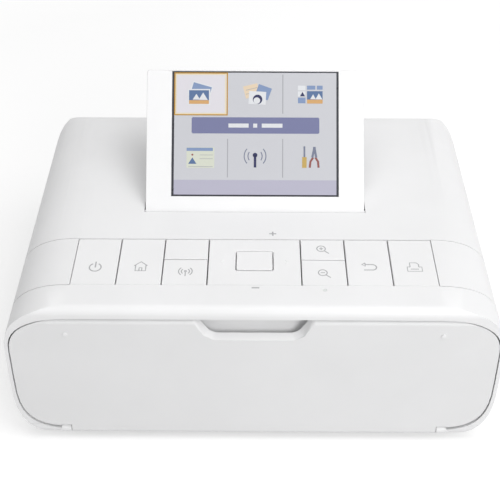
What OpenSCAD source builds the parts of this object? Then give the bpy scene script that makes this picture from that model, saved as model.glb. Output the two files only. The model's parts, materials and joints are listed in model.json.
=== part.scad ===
// Compact photo printer. Units are millimetres.
// +X is the printer's right seen from the front, +Y its back and +Z up; the table is at Z = 0.

/* [Case] */
// Width of the case
body_w = 180.6; // [176:0.1:200]
// Depth of the case, front to back
body_d = 135.9; // [134:0.1:150]
// Height of the top surface above the table
body_h = 63.1; // [62.5:0.1:70]
// Height of the case's underside above the table
foot_h = 2.5; // [1.5:0.1:3]
// Thickness of the case walls
wall = 2.2; // [2:0.1:2.4]
// Angle by which the front leans back
lean = 6; // [4:0.5:7]
// Width of each rounded shoulder
shoulder_w = 24.3; // [20:0.1:26]
// Height of each rounded shoulder
shoulder_h = 19.1; // [16:0.1:20]
// Height of the rounding towards the underside
belly_h = 28.5; // [22:0.1:30]
// Size of the rounded rear corners in plan
corner_r = 14; // [8:0.5:14]
// Height at which the upper and lower case meet
split_z = 8; // [7.8:0.1:10]

/* [Front cover] */
// Thickness of the front cover
cover_t = 2.2; // [1.8:0.1:2.4]
// Gap round the front cover
seam = 0.5; // [0.4:0.05:0.8]
// Width of the case rim beside the front cover
rim_w = 1.8; // [1.5:0.1:2.5]
// Height of the case rim above the front cover
rim_top = 5; // [4.5:0.1:6]
// Radius of the hinge barrel along the cover's lower edge
barrel_r = 2; // [1.8:0.1:2.2]
// Length of the hinge barrel
barrel_w = 139.2; // [120:0.1:142]
// Width of the finger notch at the cover's top edge
notch_w = 39.2; // [30:0.1:50]
// Width of the finger notch at its lower end
notch_foot_w = 29; // [22:0.1:29]
// Depth of the finger notch
notch_h = 6.2; // [5:0.1:8]
// Distance of the two raised pips from the middle
pip_x = 67.6; // [55:0.1:70]

/* [Paper] */
// Distance from the side of the case to the paper cassette bay
bay_margin = 33.3; // [33:0.1:36]
// Height of the paper cassette bay
bay_h = 25.4; // [22:0.1:25.6]
// Distance from the side of the bay to the end of the paper exit slot
exit_margin = 2.5; // [2:0.1:5]
// Height of the paper exit slot
exit_h = 6.6; // [5.5:0.1:7]

/* [Screen] */
// Width of the screen unit
screen_w = 86.1; // [80:0.1:88]
// Length of the screen unit, hinge edge to top edge
screen_l = 57.7; // [54:0.1:58]
// Thickness of the screen unit
screen_t = 7.6; // [7:0.1:7.8]
// Angle at which the screen unit stands at rest
screen_tilt = 46; // [20:1:60]
// Width of the display window
display_w = 66.1; // [60:0.1:70]
// Height of the display window
display_h = 50; // [45:0.1:50.2]
// Margin between the display window and the hinge edge
display_margin = 7.1; // [5:0.1:7.5]

/* [Keys] */
// Distance from one key to the next
key_pitch = 16.55; // [15.5:0.05:16.6]
// Width of the four-way pad
pad_w = 34; // [30:0.1:36]
// Length of the keys, front to back
key_l = 25.6; // [22:0.1:26]
// Distance from the front of the case to the middle of the key row
key_setback = 32.05; // [31.5:0.05:32.95]
// Gap between keys
key_gap = 0.4; // [0.3:0.05:0.5]
// Travel of a key
key_travel = 0.4; // [0.3:0.05:0.45]
// Width of the confirm key
ok_w = 13.3; // [11:0.1:14]
// Length of the confirm key
ok_l = 10.3; // [8:0.1:11]

/* [Ink] */
// Outer radius of each ink cassette tube
tube_r = 10.5; // [9.5:0.1:10.6]
// Distance between the two ink cassette tubes
tube_pitch = 31; // [30:0.1:31.5]
// Radius of the film wound on each spool
film_r = 7.5; // [6:0.1:8.5]
// Thickness of the ink door
door_t = 1.8; // [1.6:0.1:2.2]

/* [Drive] */
// Tooth size of the gears
gear_module = 1; // [1:1:1]
// Number of teeth of the motor pinion
pinion_teeth = 10; // [10:1:12]
// Number of teeth of the pickup gear
pickup_teeth = 28; // [26:1:28]
// Number of teeth of the transfer gear
transfer_teeth = 30; // [29:1:31]
// Number of teeth of the idler gear and the platen gear
idler_teeth = 16; // [16:1:17]
// Number of teeth of the feed gear
feed_teeth = 20; // [19:1:20]
// Face width of the gears
gear_w = 4; // [3:0.1:5]
// Radius of the platen roller
platen_r = 6; // [5:0.1:6.5]
// Radius of the feed roller
feed_r = 4; // [3:0.1:4.2]
// Radius of the pinch roller
pinch_r = 3; // [2.5:0.1:3.2]
// Radius of the pickup roller
pickup_r = 8; // [6:0.1:8.2]
// Radius of the roller shafts
shaft_r = 2; // [1.5:0.1:2.2]

/* [Fits] */
// Radial clearance of a turning shaft in its bore
run_gap = 0.05; // [0.03:0.01:0.08]
// Gap between pieces that sit next to each other
seat_gap = 0.3; // [0.2:0.05:0.35]

/* [Hidden] */

eps = 0.01;
big = 400;
half_w = body_w / 2;
rear_y = body_d / 2;
key_y = key_setback - rear_y;
shoulder_n = 2.4;
belly_n = 3.2;
arc_steps = 10;
shoulder_x = half_w - shoulder_w;
shoulder_z = body_h - shoulder_h;
belly_z = foot_h + belly_h;
rear_top_w = 12;
rear_top_h = 10;
front_top_r = 3.5;
front_foot_r = 3.2;
rear_foot_r = 6;
inner_top = body_h - wall;
floor_z = foot_h + wall;
bay_w = body_w - 2 * bay_margin;
bay_wall = 1.6;
exit_w = bay_w - 2 * exit_margin;
chassis_gap = 2.4;
chassis_x = bay_w / 2 + bay_wall + chassis_gap;
head_end_gap = 11;
head_l = 2 * (chassis_x - head_end_gap);
film_half_w = head_l / 2 - 1;
pickup_half_l = 18;

// The front cover turns on a line close to the lower front edge.
hinge_y = -rear_y + barrel_r;
hinge_z = foot_h + barrel_r + 0.45;
knuckle_w = 3.4;
cover_pin_r = 1.2;
cover_top = (body_h - rim_top - hinge_z) / cos(lean);
cover_half_w = half_w - rim_w;
cover_side_top = (shoulder_z - hinge_z) / cos(lean);
cover_side_foot = (belly_z - hinge_z) / cos(lean) - 0.2;
cover_foot = 1.8;
foot_relief = 0.85;
cover_wing_x = barrel_w / 2 + knuckle_w + seat_gap + 0.3;
cover_edge_r = 2;

function front_y(z) = hinge_y - barrel_r / cos(lean) + (z - hinge_z) * tan(lean);

// A quarter of a superellipse and a round corner, as points from angle a0 to angle a1.
function super_arc(cx, cy, a, b, n, a0, a1) =
    [for (i = [0 : arc_steps])
        let (t = a0 + (a1 - a0) * i / arc_steps)
        [cx + a * sign(cos(t)) * pow(abs(cos(t)), 2 / n), cy + b * sign(sin(t)) * pow(abs(sin(t)), 2 / n)]];
function round_arc(cx, cy, r, a0, a1) =
    [for (i = [0 : 5]) let (t = a0 + (a1 - a0) * i / 5) [cx + r * cos(t), cy + r * sin(t)]];

// An outline with wide shoulders above and a rounded belly below, symmetric about X = 0.
function barrel_outline(cx, a, low, b_low, up, b_up) = concat(
    super_arc(cx, low, a, b_low, belly_n, -90, 0),
    super_arc(cx, up, a, b_up, shoulder_n, 0, 90),
    super_arc(-cx, up, a, b_up, shoulder_n, 90, 180),
    super_arc(-cx, low, a, b_low, belly_n, 180, 270));

function side_outline(inset) = concat(
    round_arc(rear_y - rear_foot_r, foot_h + rear_foot_r, rear_foot_r - inset, 270, 360),
    super_arc(rear_y - rear_top_w, body_h - rear_top_h, rear_top_w - inset, rear_top_h - inset,
        shoulder_n, 0, 90),
    round_arc(front_y(body_h - front_top_r) + front_top_r / cos(lean), body_h - front_top_r,
        front_top_r - inset, 90, 180 - lean),
    round_arc(front_y(foot_h + front_foot_r) + front_foot_r / cos(lean), foot_h + front_foot_r,
        front_foot_r - inset, 180 - lean, 270));

function plan_outline(inset) = concat(
    [[half_w + 1, -rear_y - 1]],
    super_arc(half_w - corner_r, rear_y - corner_r, corner_r - inset, corner_r - inset, shoulder_n, 0, 90),
    super_arc(corner_r - half_w, rear_y - corner_r, corner_r - inset, corner_r - inset, shoulder_n, 90, 180),
    [[-half_w - 1, -rear_y - 1]]);

module along_x() { rotate([90, 0, 90]) children(); }
module along_y() { rotate([90, 0, 0]) children(); }
module mirror_copy() {
    children();
    mirror([1, 0, 0]) children();
}
module rod_x(x0, x1, y, z, r) {
    translate([x0, y, z]) rotate([0, 90, 0]) cylinder(r = r, h = x1 - x0, $fn = 48);
}
module rod_y(x, y0, y1, z, r) {
    translate([x, y0, z]) rotate([-90, 0, 0]) cylinder(r = r, h = y1 - y0, $fn = 48);
}
module rod_z(x, y, z0, z1, r) {
    translate([x, y, z0]) cylinder(r = r, h = z1 - z0, $fn = 48);
}
module block(x0, x1, y0, y1, z0, z1) {
    translate([x0, y0, z0]) cube([x1 - x0, y1 - y0, z1 - z0]);
}
module rounded_rect(x0, x1, y0, y1, r) {
    translate([x0 + r, y0]) square([x1 - x0 - 2 * r, y1 - y0]);
    translate([x0, y0 + r]) square([x1 - x0, y1 - y0 - 2 * r]);
    for (x = [x0 + r, x1 - r], y = [y0 + r, y1 - r]) translate([x, y]) circle(r = r, $fn = 32);
}
module rounded_block(x0, x1, y0, y1, z0, z1, r) {
    translate([0, 0, z0]) linear_extrude(z1 - z0) rounded_rect(x0, x1, y0, y1, r);
}

// The frame of the leaning front: its X axis is the cover's hinge line, its Z axis runs up the cover.
module on_front() { translate([0, hinge_y, hinge_z]) rotate([-lean, 0, 0]) children(); }

// The outside of the case, or the space inside it when inset by the wall.
module body_form(inset) {
    intersection() {
        translate([0, big / 2, 0]) along_y() linear_extrude(big) polygon(barrel_outline(shoulder_x,
            shoulder_w - inset, belly_z, belly_h - inset, shoulder_z, shoulder_h - inset));
        translate([-big / 2, 0, 0]) along_x() linear_extrude(big) polygon(side_outline(inset));
        linear_extrude(big / 2) polygon(plan_outline(inset));
    }
}

// The front cover's outline in the leaning frame; grow widens it all round, relief only at the foot.
module cover_outline(grow, relief) {
    a = cover_half_w - shoulder_x;
    polygon(barrel_outline(shoulder_x, a + grow, cover_side_foot,
        cover_side_foot - cover_foot + grow + relief, cover_side_top, cover_top - cover_side_top + grow));
}
module cover_pocket() {
    on_front() translate([0, barrel_r + wall, 0]) along_y()
        linear_extrude(2 * barrel_r + wall + 4) cover_outline(seam, foot_relief);
}

/* Lower case */
case_screw_at = [[half_w - 12.3, -14], [half_w - 12.3, rear_y - 10]];
boss_top = split_z + 4;
screw_head_z = foot_h + 3;
boss_r = 3.5;
screw_r = 1.5;
screw_head_r = 2.8;
screw_head_h = 2;
foot_r = 6;
foot_recess = 0.6;
foot_x = half_w - 28.3;
foot_at = [[foot_x, 17.95 - rear_y], [foot_x, rear_y - 13.95]];
side_board_z = 20.4;
side_board_x0 = half_w - 27.8;
side_board_x1 = half_w - 4.3;
side_board_posts = [[side_board_x0 + 3.5, -52], [side_board_x0 + 3.5, -24], [side_board_x1 - 4, -24]];
module screw_wells() {
    for (p = case_screw_at) {
        rod_z(p[0], p[1], 0, boss_top + 1, screw_r + 0.1);
        rod_z(p[0], p[1], 0, screw_head_z + screw_head_h, screw_head_r + 0.2);
    }
}
module lower_case() {
    color("whitesmoke") difference() {
        union() {
            difference() {
                intersection() {
                    body_form(0);
                    block(-big, big, -big, big, 0, split_z - 0.05);
                }
                body_form(wall);
                cover_pocket();
                on_front() block(-barrel_w / 2 - knuckle_w - seam, barrel_w / 2 + knuckle_w + seam,
                    -barrel_r - 4, barrel_r + 0.35, -big, barrel_r + seam);
            }
            mirror_copy() on_front() {
                rod_x(barrel_w / 2 + 0.35, barrel_w / 2 + knuckle_w + seam + 0.1, 0, 0, barrel_r);
                block(barrel_w / 2 + 0.35, barrel_w / 2 + knuckle_w + seam + 0.1, 0, barrel_r + 1,
                    -barrel_r, 0.6);
            }
            intersection() {
                union() {
                    mirror_copy() for (p = case_screw_at) rod_z(p[0], p[1], 0, boss_top - 0.05, boss_r);
                    for (p = side_board_posts) rod_z(p[0], p[1], 0, side_board_z - 0.05, 2.4);
                }
                union() {
                    body_form(wall + 0.15);
                    intersection() {
                        body_form(wall / 2);
                        block(-big, big, -big, big, 0, split_z - 0.05);
                    }
                }
            }
        }
        mirror_copy() screw_wells();
        mirror_copy() for (p = foot_at) rod_z(p[0], p[1], 0, foot_h + foot_recess, foot_r + 0.1);
        mirror_copy() on_front() rod_x(barrel_w / 2, barrel_w / 2 + knuckle_w, 0, 0, cover_pin_r + run_gap);
    }
}
module rubber_feet() {
    color("dimgray") mirror_copy() for (p = foot_at) rod_z(p[0], p[1], 0, foot_h + foot_recess, foot_r);
}
module case_screws() {
    color("silver") mirror_copy() for (p = case_screw_at) {
        rod_z(p[0], p[1], screw_head_z, screw_head_z + screw_head_h, screw_head_r);
        rod_z(p[0], p[1], screw_head_z + screw_head_h, boss_top + 8, screw_r);
    }
}

/* Upper case */
well_y0 = key_y - key_l / 2 - 0.2;
well_y1 = key_y + key_l / 2 + 0.2;
well_half_w = pad_w / 2 + 3 * key_pitch + key_gap / 2;
board_z = body_h - 8.5;
board_t = 1.6;
board_y0 = key_y - 20.1;
board_y1 = key_y + 18.9;
board_half_w = well_half_w - 0.85;
key_board_screw_x = board_half_w - 6;
key_board_screw_at = [for (x = [key_board_screw_x, 27], y = [key_y - 17.1, key_y + 16.7]) [x, y]];
indicator_at = [25.3, key_y - 15.4];
recess_gap = 0.45;
recess_wall = 1.6;
screen_axis_y = key_y + 31.2;
screen_axis_z = body_h - 1.4;
screen_face = 1.2;
screen_edge = 1;
screen_pin_r = 0.8;
recess_half_w = screen_w / 2 + recess_gap;
recess_y0 = screen_axis_y - 1.85;
recess_y1 = screen_axis_y + screen_l - screen_edge + recess_gap;
recess_floor = screen_axis_z + screen_face - screen_t - 0.5;
exit_z = 20.3;
exit_y0 = rear_y - 13.75;
main_board_y = exit_y0 - 1.2;
take_up_y = main_board_y - 12.5;
supply_y = take_up_y - tube_pitch;
platen_y = supply_y + tube_pitch / 2;
pickup_y = platen_y - 39;
vent_pitch = 3.6;
vent_w = 1.6;
battery_w = 36;
usb_x = battery_w / 2 + 8;
inlet_x = usb_x + 20;
inlet_z = 40;
usb_z = 36;
battery_h = 14;
vent_x0 = -battery_w / 2 - 34;
battery_z = 41;
card_y = -40;
card_z = side_board_z + board_t + 2;
host_y = -39;
host_z = side_board_z - 3.6;

// The ink door turns on a line inside its lower edge.
door_y0 = supply_y - 15;
door_y1 = take_up_y + 13;
door_z0 = 19.9;
door_z1 = 51;
door_barrel_r = 1.3;
door_axis_z = door_z0 + door_barrel_r;
door_axis_x = half_w - 0.25 - door_barrel_r;
door_pin_r = 0.8;
door_gap = 0.4;
door_lug_l = 3;

module groove_line(y) {
    intersection() {
        block(well_half_w - eps, half_w + 1, y - 0.2, y + 0.2, shoulder_z, body_h + 1);
        difference() {
            body_form(-1);
            body_form(0.35);
        }
    }
}
module rear_openings() {
    block(-exit_w / 2, exit_w / 2, rear_y - 6, rear_y + 1, exit_z - exit_h / 2, exit_z + exit_h / 2);
    for (i = [0 : 8])
        block(vent_x0 + i * vent_pitch, vent_x0 + i * vent_pitch + vent_w, rear_y - 6, rear_y + 1, 34, 48);
    rod_y(inlet_x, rear_y - 6, rear_y + 1, inlet_z, 4.2);
    block(usb_x - 4.2, usb_x + 4.2, rear_y - 6, rear_y + 1, usb_z - 2.4, usb_z + 2.4);
    block(-battery_w / 2 - 0.2, battery_w / 2 + 0.2, rear_y - 1.5, rear_y + 1,
        battery_z - battery_h / 2 - 0.2, battery_z + battery_h / 2 + 0.2);
}
module side_openings() {
    block(half_w - 8, half_w + 1, door_y0 - door_gap, door_y1 + door_gap, door_z0 - door_gap,
        door_z1 + door_gap);
    block(half_w - 5, half_w + 1, card_y - 12.6, card_y + 12.6, card_z - 1.5, card_z + 1.5);
    block(half_w - 5, half_w + 1, host_y - 7, host_y + 7, host_z - 3.1, host_z + 3.1);
}
module upper_case() {
    color("white") difference() {
        union() {
            difference() {
                intersection() {
                    body_form(0);
                    block(-big, big, -big, big, split_z + 0.05, big);
                }
                body_form(wall);
                cover_pocket();
            }
            block(-recess_half_w - recess_wall, recess_half_w + recess_wall, recess_y0 - recess_wall,
                recess_y1 + recess_wall, recess_floor - recess_wall, inner_top + eps);
            intersection() {
                mirror_copy() for (p = case_screw_at) rod_z(p[0], p[1], boss_top + 0.05, body_h, boss_r);
                body_form(wall / 2);
            }
            mirror_copy() for (p = key_board_screw_at)
                rod_z(p[0], p[1], board_z + board_t + 0.05, inner_top + 0.5, 2.4);
            for (y = [door_y0 - door_gap - door_lug_l, door_y1 + door_gap])
                block(door_axis_x - 2.2, door_axis_x + 0.6, y, y + door_lug_l, door_axis_z - 2,
                    door_axis_z + 2);
        }
        block(-well_half_w, well_half_w, well_y0, well_y1, inner_top - 1, body_h + 1);
        block(-recess_half_w, recess_half_w, recess_y0, recess_y1, recess_floor, body_h + 1);
        mirror_copy() rod_x(recess_half_w - 1, recess_half_w + recess_wall + 1, screen_axis_y, screen_axis_z,
            screen_pin_r);
        mirror_copy() for (y = [well_y0, well_y1]) groove_line(y);
        rod_z(indicator_at[0], indicator_at[1], inner_top - 1, body_h + 1, 0.8);
        rear_openings();
        side_openings();
        mirror_copy() for (p = case_screw_at) rod_z(p[0], p[1], boss_top - 1, boss_top + 8.5, screw_r);
        mirror_copy() for (p = key_board_screw_at)
            rod_z(p[0], p[1], board_z + board_t - 1, board_z + board_t + 3.6, 1);
        rod_y(door_axis_x, door_y0 - door_gap - door_lug_l - 1, door_y1 + door_gap + door_lug_l + 1,
            door_axis_z, door_pin_r + run_gap);
    }
}
module indicator_lens() {
    color("gainsboro") rod_z(indicator_at[0], indicator_at[1], inner_top - 0.4, body_h - 0.2, 0.75);
}
module battery_cover() {
    color("whitesmoke") rounded_plate_y(-battery_w / 2, battery_w / 2, battery_z - battery_h / 2,
        battery_z + battery_h / 2, rear_y - 1.4, rear_y - 0.1, 1.5);
}
module rounded_plate_y(x0, x1, z0, z1, y0, y1, r) {
    translate([0, y1, 0]) along_y() linear_extrude(y1 - y0) rounded_rect(x0, x1, z0, z1, r);
}

/* Front frame and paper cassette bay */
frame_front = wall - barrel_r + seat_gap;
frame_t = 2;
bay_z = floor_z + seat_gap + bay_wall;
bay_y1 = pickup_y + 12;
scoop_r = 7;
scoop_z = cover_top - 5.5;
scoop_wall = 1.5;
module cassette_mouth(grow) {
    block(-bay_w / 2 - grow, bay_w / 2 + grow, -big, bay_y1, bay_z - grow, bay_z + bay_h + grow);
}
module front_frame() {
    color("gainsboro") difference() {
        union() {
            intersection() {
                body_form(wall + 0.1);
                on_front() block(-big, big, frame_front, frame_front + frame_t, barrel_r + 0.6, big);
            }
            intersection() {
                body_form(wall + 0.1);
                on_front() difference() {
                    rod_x(-notch_w / 2 - scoop_wall, notch_w / 2 + scoop_wall, frame_front, scoop_z,
                        scoop_r + scoop_wall);
                    block(-big, big, -big, frame_front, -big, big);
                }
            }
        }
        on_front() rod_x(-notch_w / 2, notch_w / 2, frame_front, scoop_z, scoop_r);
        cassette_mouth(0);
    }
}
module cassette_bay() {
    color("darkgray") difference() {
        intersection() {
            cassette_mouth(bay_wall);
            on_front() block(-big, big, frame_front + frame_t + 0.05, big, -big, big);
        }
        cassette_mouth(0);
        block(-bay_w, bay_w, bay_y1 - eps, bay_y1 + 2, 0, big);
        block(-pickup_half_l - 3, pickup_half_l + 3, pickup_y - pickup_r - 2, bay_y1 + 1,
            bay_z + bay_h - 1, bay_z + bay_h + bay_wall + 1);
        for (x = [-44, 0, 44]) block(x - 6, x + 6, -50, -14, 0, bay_z + eps);
    }
}

/* Front cover */
module notch_prism(grow) {
    polygon([[-notch_w / 2 - grow, cover_top + 1], [-notch_foot_w / 2 - grow, cover_top - notch_h - grow],
        [notch_foot_w / 2 + grow, cover_top - notch_h - grow], [notch_w / 2 + grow, cover_top + 1]]);
}
module cover_side() {
    // Side view of the cover: a plate whose top edge is rounded towards the front.
    polygon(concat([[-barrel_r, -1], [cover_t - barrel_r, -1], [cover_t - barrel_r, cover_top]],
        round_arc(cover_edge_r - barrel_r, cover_top - cover_edge_r, cover_edge_r, 90, 180)));
}
module front_cover() {
    color("lightgray") on_front() {
        difference() {
            union() {
                intersection() {
                    union() {
                        translate([0, 4, 0]) along_y() linear_extrude(8) cover_outline(0, 0);
                        block(-barrel_w / 2, barrel_w / 2, -4, 4, 0, 2 * barrel_r);
                    }
                    translate([-big / 2, 0, 0]) along_x() linear_extrude(big) cover_side();
                }
                rod_x(-barrel_w / 2, barrel_w / 2, 0, 0, barrel_r);
            }
            mirror_copy() block(barrel_w / 2, cover_wing_x, -4, 4, -4, barrel_r + seam);
            hull() {
                translate([0, -barrel_r, 0]) along_y() linear_extrude(1) notch_prism(2.6);
                translate([0, cover_t - barrel_r + 1, 0]) along_y() linear_extrude(1) notch_prism(0);
            }
        }
        mirror_copy() rod_x(barrel_w / 2 - 1, barrel_w / 2 + knuckle_w - 0.2, 0, 0, cover_pin_r);
        mirror_copy() rod_y(pip_x, -barrel_r - 0.4, -barrel_r + 0.2, cover_top - 6.6, 0.9);
    }
}

/* Keys */
key_top = body_h - 0.1;
key_bottom = inner_top - 0.9;
lip_top = inner_top - seat_gap;
lip_t = 0.7;
lip_l = 1;
key_split = 0.6;
switch_top = board_z + board_t + 2.3;
stem_bottom = switch_top + key_travel + 0.05;
ok_y = key_y + 0.6;
pad_tilt = 1;

function key_x(slot) = pad_w / 2 + (slot - 0.5) * key_pitch + key_gap / 2;
key_body_w = key_pitch - key_gap;

// A key plate from y0 to y1, with a lip under the case at each outer end and a stem over its switch.
module key_plate(x, y0, y1, lip_rear, lip_front) {
    block(x - key_body_w / 2, x + key_body_w / 2, y0, y1, key_bottom, key_top);
    block(x - key_body_w / 2, x + key_body_w / 2, y0 - (lip_front ? lip_l : 0), y1 + (lip_rear ? lip_l : 0),
        lip_top - lip_t, lip_top);
    rod_z(x, (y0 + y1) / 2, stem_bottom, key_bottom + 0.5, 1.5);
}
key_y0 = key_y - key_l / 2;
key_y1 = key_y + key_l / 2;
key_mid = key_y + key_split + 0.7;
module full_key(slot) { key_plate(key_x(slot), key_y0, key_y1, true, true); }
module rear_key(slot) { key_plate(key_x(slot), key_mid + key_gap / 2, key_y1, true, false); }
module front_key(slot) { key_plate(key_x(slot), key_y0, key_mid - key_gap / 2, false, true); }
module left_side() { mirror([1, 0, 0]) children(); }

module power_key() { color("white") left_side() full_key(3); }
module home_key() { color("white") left_side() full_key(2); }
module menu_key() { color("white") left_side() rear_key(1); }
module wireless_key() { color("white") left_side() front_key(1); }
module zoom_in_key() { color("white") rear_key(1); }
module zoom_out_key() { color("white") front_key(1); }
module back_key() { color("white") full_key(2); }
module print_key() { color("white") full_key(3); }

// The four-way pad tilts on a ring. Two pins carry the ring over the key board, and two more carry the pad.
pad_stem_x = 13;
pad_stem_y = 9.5;
pad_stem_r = 1.3;
pad_stem_bottom = switch_top + (pad_stem_x + 2 * pad_stem_r) * sin(pad_tilt) + 0.05;
gimbal_z = switch_top - 0.3;
gimbal_t = 1;
gimbal_half_w = 8.6;
gimbal_half_l = 6;
gimbal_rim = 1.4;
gimbal_pin_r = 0.4;
gimbal_post_x = gimbal_half_w + 0.3;
gimbal_lug_y = gimbal_half_l + 0.2;
gimbal_lug_t = 0.8;
module four_way_pad() {
    color("white") difference() {
        union() {
            block(-pad_w / 2, pad_w / 2, key_y0, key_y1, key_bottom, key_top);
            for (x = [-pad_stem_x, pad_stem_x])
                rod_z(x, ok_y, pad_stem_bottom, key_bottom + 0.5, pad_stem_r);
            for (y = [-pad_stem_y, pad_stem_y])
                rod_z(0, ok_y + y, pad_stem_bottom, key_bottom + 0.5, pad_stem_r);
            for (y = [ok_y - gimbal_lug_y - gimbal_lug_t, ok_y + gimbal_lug_y])
                block(-1.2, 1.2, y, y + gimbal_lug_t, gimbal_z - 0.7, key_bottom + 0.5);
        }
        rounded_block(-ok_w / 2 - 0.35, ok_w / 2 + 0.35, ok_y - ok_l / 2 - 0.35, ok_y + ok_l / 2 + 0.35,
            key_bottom - 0.1, key_top + 1, 0.9);
        rod_y(0, ok_y - gimbal_half_l - 2, ok_y + gimbal_half_l + 2, gimbal_z, gimbal_pin_r + run_gap);
    }
}
module pad_gimbal() {
    pin_l = 1.3;
    color("silver") {
        difference() {
            rounded_block(-gimbal_half_w, gimbal_half_w, ok_y - gimbal_half_l, ok_y + gimbal_half_l,
                gimbal_z - gimbal_t / 2, gimbal_z + gimbal_t / 2, 1);
            rounded_block(gimbal_rim - gimbal_half_w, gimbal_half_w - gimbal_rim,
                ok_y + gimbal_rim - gimbal_half_l, ok_y - gimbal_rim + gimbal_half_l, gimbal_z - 1,
                gimbal_z + 1, 0.8);
        }
        for (x = [-gimbal_half_w - pin_l, gimbal_half_w - 0.3])
            rod_x(x, x + pin_l + 0.3, ok_y, gimbal_z, gimbal_pin_r);
        for (y = [ok_y - gimbal_half_l - 1, ok_y + gimbal_half_l - 0.3])
            rod_y(0, y, y + 1.3, gimbal_z, gimbal_pin_r);
    }
}
module ok_key() {
    color("white") {
        rounded_block(-ok_w / 2, ok_w / 2, ok_y - ok_l / 2, ok_y + ok_l / 2, key_bottom - 0.1, key_top + 0.1,
            0.7);
        rounded_block(-ok_w / 2 - 0.7, ok_w / 2 + 0.7, ok_y - ok_l / 2 - 0.7, ok_y + ok_l / 2 + 0.7,
            key_bottom - 0.6, key_bottom - 0.05, 0.9);
        rod_z(0, ok_y, stem_bottom, key_bottom - 0.5, 1.5);
    }
}

/* Key board */
function switch_places() = concat(
    [for (slot = [-3, -2, 2, 3]) [sign(slot) * key_x(abs(slot)), key_y]],
    [for (slot = [-1, 1]) [slot * key_x(1), (key_mid + key_gap / 2 + key_y1) / 2]],
    [for (slot = [-1, 1]) [slot * key_x(1), (key_mid - key_gap / 2 + key_y0) / 2]],
    [[0, ok_y], [pad_stem_x, ok_y], [-pad_stem_x, ok_y], [0, ok_y + pad_stem_y], [0, ok_y - pad_stem_y]]);
module key_board() {
    color("darkgreen") difference() {
        union() {
            difference() {
                block(-board_half_w, board_half_w, board_y0, board_y1, board_z, board_z + board_t);
                block(-notch_w / 2 - 3, notch_w / 2 + 3, board_y0 - 1, board_y0 + 4.6, 0, big);
            }
            for (p = switch_places()) {
                block(p[0] - 2.4, p[0] + 2.4, p[1] - 2.4, p[1] + 2.4, board_z + board_t, switch_top - 0.8);
                rod_z(p[0], p[1], switch_top - 0.9, switch_top, 1.1);
            }
            mirror_copy() difference() {
                block(gimbal_post_x, gimbal_post_x + 1, ok_y - 1, ok_y + 1, board_z + board_t - 0.5,
                    gimbal_z + 0.9);
                rod_x(gimbal_post_x - 1, gimbal_post_x + 2, ok_y, gimbal_z, gimbal_pin_r + run_gap);
            }
        }
        mirror_copy() for (p = key_board_screw_at) rod_z(p[0], p[1], board_z - 1, board_z + board_t + 1, 1.1);
    }
}
module key_board_screws() {
    color("silver") mirror_copy() for (p = key_board_screw_at) {
        rod_z(p[0], p[1], board_z - 1.2, board_z - 0.02, 2);
        rod_z(p[0], p[1], board_z - 0.5, board_z + board_t + 3.4, 1);
    }
}

/* Screen unit */
bezel_t = 2.8;
back_gap = 0.1;
// The screen unit's frame: X is its hinge line, Y runs up the screen and Z points out of its face.
module on_screen() {
    translate([0, screen_axis_y, screen_axis_z]) rotate([screen_tilt, 0, 0]) children();
}
window_y0 = display_margin - screen_edge;
pin_inner_x = screen_w / 2 - 5;
module display_block(gap, z0, z1) {
    block(-display_w / 2 + gap, display_w / 2 - gap, window_y0 + gap, window_y0 + display_h - gap, z0, z1);
}
module screen_outline(z0, z1, r) {
    rounded_block(-screen_w / 2, screen_w / 2, -screen_edge, screen_l - screen_edge, z0, z1, r);
}
module screen_bezel() {
    color("white") on_screen() difference() {
        screen_outline(screen_face - bezel_t, screen_face, 1);
        display_block(0, -big, big);
        mirror_copy() rod_x(pin_inner_x, screen_w / 2 + 1, 0, 0, screen_pin_r + run_gap);
    }
}
module screen_back_cover() {
    color("white") on_screen() difference() {
        screen_outline(screen_face - screen_t, screen_face - bezel_t - back_gap, 1);
        block(-screen_w / 2 + 2, screen_w / 2 - 2, -screen_edge + 1.6, screen_l - screen_edge - 1.4,
            screen_face - screen_t + 1.4, screen_face);
    }
}
module display_module() {
    color("black") on_screen() {
        display_block(0.05, screen_face - bezel_t - eps, screen_face - 0.6);
        block(-display_w / 2 - 1.5, display_w / 2 + 1.5, window_y0 - 1, window_y0 + display_h - 1.1,
            screen_face - screen_t + 1.7, screen_face - bezel_t - 0.02);
    }
}
module display_window() {
    color("lightsteelblue") on_screen() display_block(0.05, screen_face - 0.55, screen_face - 0.15);
}
module screen_hinge_pins() {
    color("silver") mirror_copy()
        rod_x(pin_inner_x + 0.3, recess_half_w + recess_wall - 0.1, screen_axis_y, screen_axis_z,
            screen_pin_r);
}

/* Ink door, ink cassette */
tube_z = 36;
tube_x0 = 5 - chassis_x;
tube_x1 = chassis_x + 11;
tube_t = 0.9;
core_r = 4;
hub_r = 2.4;
film_z = tube_z - film_r;
film_t = 0.12;
grip_x = half_w - 10.3;
module ink_door() {
    color("white") difference() {
        union() {
            difference() {
                intersection() {
                    body_form(0);
                    block(half_w - 8, half_w + 1, door_y0, door_y1, door_axis_z, door_z1);
                }
                body_form(door_t);
            }
            rod_y(door_axis_x, door_y0, door_y1, door_axis_z, door_barrel_r);
        }
        rod_y(door_axis_x, door_y0 - 1, door_y1 + 1, door_axis_z, door_pin_r);
    }
}
module ink_door_pin() {
    color("silver") rod_y(door_axis_x, door_y0 - door_gap - door_lug_l, door_y1 + door_gap + door_lug_l,
        door_axis_z, door_pin_r);
}
module tube(y) {
    difference() {
        rod_x(tube_x0, tube_x1, y, tube_z, tube_r);
        rod_x(tube_x0 + 1.5, tube_x1 - 1.5, y, tube_z, tube_r - tube_t);
        rod_x(tube_x0 - 1, tube_x1 + 1, y, tube_z, hub_r + run_gap);
    }
}
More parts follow.
